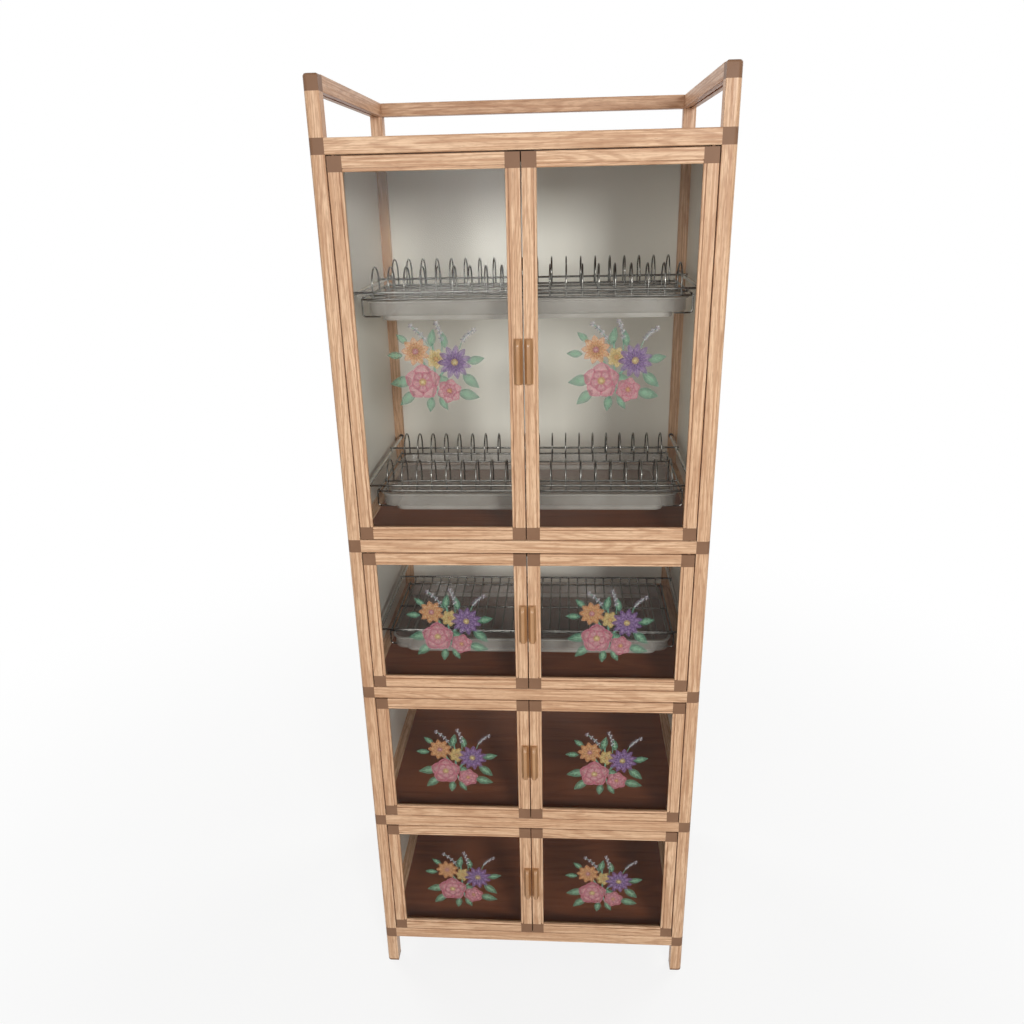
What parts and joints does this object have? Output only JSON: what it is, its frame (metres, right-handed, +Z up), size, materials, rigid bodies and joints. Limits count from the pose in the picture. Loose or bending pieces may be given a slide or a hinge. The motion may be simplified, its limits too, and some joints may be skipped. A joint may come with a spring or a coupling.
{
  "type": "kitchen dish cabinet",
  "caption": "Tall free-standing dish cabinet of wood-grained aluminium tube with glazed hinged doors, shelf boards, wire plate racks over drip trays and an open gallery on top.",
  "frame": {"origin": "on the floor under the middle of the cabinet's box, pulls included", "axes": "+X to the right as seen from the front, +Y from the doors to the back, +Z up"},
  "size_m": [0.67, 0.514, 1.83],
  "materials": {
    "oak_film": "aluminium extrusion under a satin light oak film",
    "brown_plastic": "satin moulded plastic",
    "amber_plastic": "ribbed, slightly clear",
    "pane_glass": "clear, with a printed spray",
    "pale_panel": "glossy off-white sheet",
    "red_brown_laminate": "dark satin laminate",
    "bright_wire": "polished steel wire",
    "milky_plastic": "translucent",
    "dark_plastic": "plain moulded",
    "plain_steel": "plain strip"
  },
  "bodies": {
    "cabinet_frame": {"front_posts": "oak_film", "rear_posts": "oak_film", "front_rails": "oak_film", "rear_rails": "oak_film", "side_rails": "oak_film", "gallery_rails": "oak_film", "frame_connectors": "brown_plastic", "feet": "brown_plastic", "side_panels": "pale_panel", "back_panels": "pale_panel", "shelf_boards": "red_brown_laminate", "rack_bars": "bright_wire", "bar_cups": "dark_plastic", "magnetic_catches": "dark_plastic"},
    "bottom_left_door": {"bottom_left_door_frame": "oak_film", "bottom_left_door_corners": "brown_plastic", "bottom_left_door_glass": "pane_glass", "bottom_left_door_pull": "amber_plastic", "bottom_left_door_strike": "plain_steel"},
    "bottom_right_door": {"bottom_right_door_frame": "oak_film", "bottom_right_door_corners": "brown_plastic", "bottom_right_door_glass": "pane_glass", "bottom_right_door_pull": "amber_plastic", "bottom_right_door_strike": "plain_steel"},
    "third_left_door": {"third_left_door_frame": "oak_film", "third_left_door_corners": "brown_plastic", "third_left_door_glass": "pane_glass", "third_left_door_pull": "amber_plastic", "third_left_door_strike": "plain_steel"},
    "third_right_door": {"third_right_door_frame": "oak_film", "third_right_door_corners": "brown_plastic", "third_right_door_glass": "pane_glass", "third_right_door_pull": "amber_plastic", "third_right_door_strike": "plain_steel"},
    "second_left_door": {"second_left_door_frame": "oak_film", "second_left_door_corners": "brown_plastic", "second_left_door_glass": "pane_glass", "second_left_door_pull": "amber_plastic", "second_left_door_strike": "plain_steel"},
    "second_right_door": {"second_right_door_frame": "oak_film", "second_right_door_corners": "brown_plastic", "second_right_door_glass": "pane_glass", "second_right_door_pull": "amber_plastic", "second_right_door_strike": "plain_steel"},
    "upper_left_door": {"upper_left_door_frame": "oak_film", "upper_left_door_corners": "brown_plastic", "upper_left_door_glass": "pane_glass", "upper_left_door_pull": "amber_plastic", "upper_left_door_strike": "plain_steel"},
    "upper_right_door": {"upper_right_door_frame": "oak_film", "upper_right_door_corners": "brown_plastic", "upper_right_door_glass": "pane_glass", "upper_right_door_pull": "amber_plastic", "upper_right_door_strike": "plain_steel"},
    "upper_rack": {"upper_plate_rack": "bright_wire"},
    "upper_drip_tray": {"upper_drip_tray": "milky_plastic"},
    "lower_rack": {"lower_plate_rack": "bright_wire"},
    "lower_drip_tray": {"lower_drip_tray": "milky_plastic"},
    "basket": {"basket_rack": "bright_wire"},
    "basket_drip_tray": {"basket_drip_tray": "milky_plastic"}
  },
  "joints": [
    {"name": "bottom_left_door_hinge", "type": "hinge", "parent": "cabinet_frame", "child": "bottom_left_door", "pos_m": [-0.298, -0.238, 0.24375], "axis": [0, 0, -1], "range_deg": [0, 120]},
    {"name": "bottom_right_door_hinge", "type": "hinge", "parent": "cabinet_frame", "child": "bottom_right_door", "pos_m": [0.298, -0.238, 0.24375], "axis": [0, 0, 1], "range_deg": [0, 120]},
    {"name": "third_left_door_hinge", "type": "hinge", "parent": "cabinet_frame", "child": "third_left_door", "pos_m": [-0.298, -0.238, 0.56225], "axis": [0, 0, -1], "range_deg": [0, 120]},
    {"name": "third_right_door_hinge", "type": "hinge", "parent": "cabinet_frame", "child": "third_right_door", "pos_m": [0.298, -0.238, 0.56225], "axis": [0, 0, 1], "range_deg": [0, 120]},
    {"name": "second_left_door_hinge", "type": "hinge", "parent": "cabinet_frame", "child": "second_left_door", "pos_m": [-0.298, -0.238, 0.88075], "axis": [0, 0, -1], "range_deg": [0, 120]},
    {"name": "second_right_door_hinge", "type": "hinge", "parent": "cabinet_frame", "child": "second_right_door", "pos_m": [0.298, -0.238, 0.88075], "axis": [0, 0, 1], "range_deg": [0, 120]},
    {"name": "upper_left_door_hinge", "type": "hinge", "parent": "cabinet_frame", "child": "upper_left_door", "pos_m": [-0.298, -0.238, 1.383], "axis": [0, 0, -1], "range_deg": [0, 120]},
    {"name": "upper_right_door_hinge", "type": "hinge", "parent": "cabinet_frame", "child": "upper_right_door", "pos_m": [0.298, -0.238, 1.383], "axis": [0, 0, 1], "range_deg": [0, 120]},
    {"name": "upper_rack_lift", "type": "slide", "parent": "cabinet_frame", "child": "upper_rack", "axis": [0, 0, 1], "range_m": [0, 0.05]},
    {"name": "upper_drip_tray_slide", "type": "slide", "parent": "upper_rack", "child": "upper_drip_tray", "axis": [0, -1, 0], "range_m": [0, 0.055]},
    {"name": "lower_rack_lift", "type": "slide", "parent": "cabinet_frame", "child": "lower_rack", "axis": [0, 0, 1], "range_m": [0, 0.05]},
    {"name": "lower_drip_tray_slide", "type": "slide", "parent": "lower_rack", "child": "lower_drip_tray", "axis": [0, -1, 0], "range_m": [0, 0.055]},
    {"name": "basket_lift", "type": "slide", "parent": "cabinet_frame", "child": "basket", "axis": [0, 0, 1], "range_m": [0, 0.05]},
    {"name": "basket_drip_tray_slide", "type": "slide", "parent": "basket", "child": "basket_drip_tray", "axis": [0, -1, 0], "range_m": [0, 0.055]}
  ]
}
